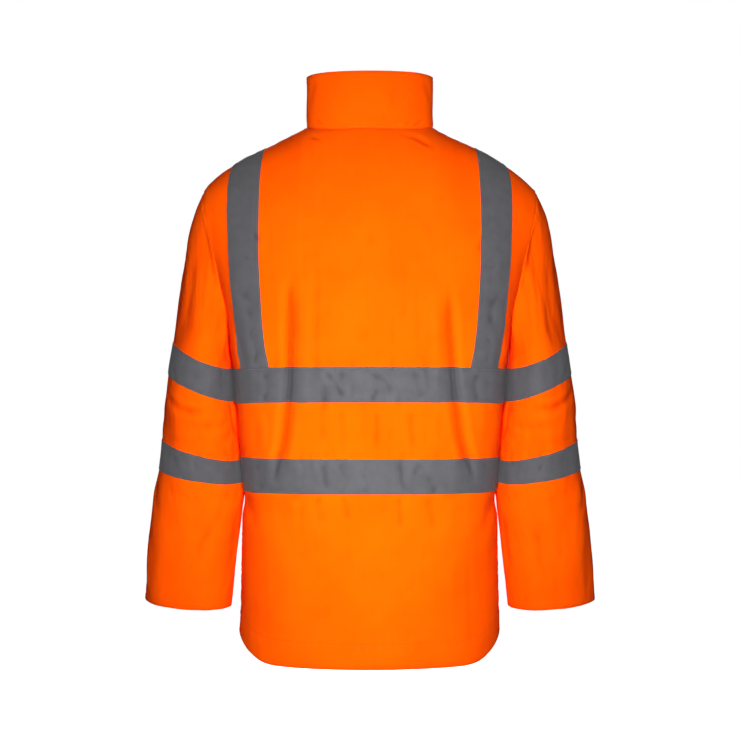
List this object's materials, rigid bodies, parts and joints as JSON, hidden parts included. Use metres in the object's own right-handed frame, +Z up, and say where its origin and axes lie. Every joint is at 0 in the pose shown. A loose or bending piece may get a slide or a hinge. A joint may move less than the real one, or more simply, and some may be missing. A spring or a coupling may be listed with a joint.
{
  "type": "hi-vis work jacket",
  "caption": "Hollow hi-vis work jacket, filled out as worn: long sleeves, stand collar, full-length front zip and reflective tape round body and sleeves and over the shoulders.",
  "frame": {"origin": "middle of the neck opening, at the height of the back neck seam, where the wearer's shoulders and neck hold the jacket up", "axes": "+Z up through the collar, -Y the way the jacket faces, +X towards the wearer's left sleeve"},
  "size_m": [0.6656, 0.2967, 0.846],
  "materials": {
    "shell_cloth": "satin fluorescent orange woven polyester",
    "reflective_tape": "grey retroreflective tape with a dull sheen",
    "zip_cloth": "woven orange zip tape with moulded teeth",
    "zip_metal": "satin metal"
  },
  "bodies": {
    "jacket": {"back": "shell_cloth", "front_left": "shell_cloth", "front_right": "shell_cloth", "sleeve_left": "shell_cloth", "sleeve_right": "shell_cloth", "collar": "shell_cloth", "brace_left": "reflective_tape", "brace_right": "reflective_tape", "upper_band_back": "reflective_tape", "upper_band_front_left": "reflective_tape", "upper_band_front_right": "reflective_tape", "lower_band_back": "reflective_tape", "lower_band_front_left": "reflective_tape", "lower_band_front_right": "reflective_tape", "sleeve_band_upper_left": "reflective_tape", "sleeve_band_upper_right": "reflective_tape", "sleeve_band_lower_left": "reflective_tape", "sleeve_band_lower_right": "reflective_tape", "zip_chain": "zip_cloth", "zip_slider": "zip_metal"},
    "pull_tab": {"zip_pull_tab": "zip_metal"}
  },
  "joints": [
    {"name": "pull_tab_swing", "type": "hinge", "parent": "jacket", "child": "pull_tab", "pos_m": [0, -0.09857, -0.00974], "axis": [-1, 0, 0], "range_deg": [-3, 170]}
  ]
}
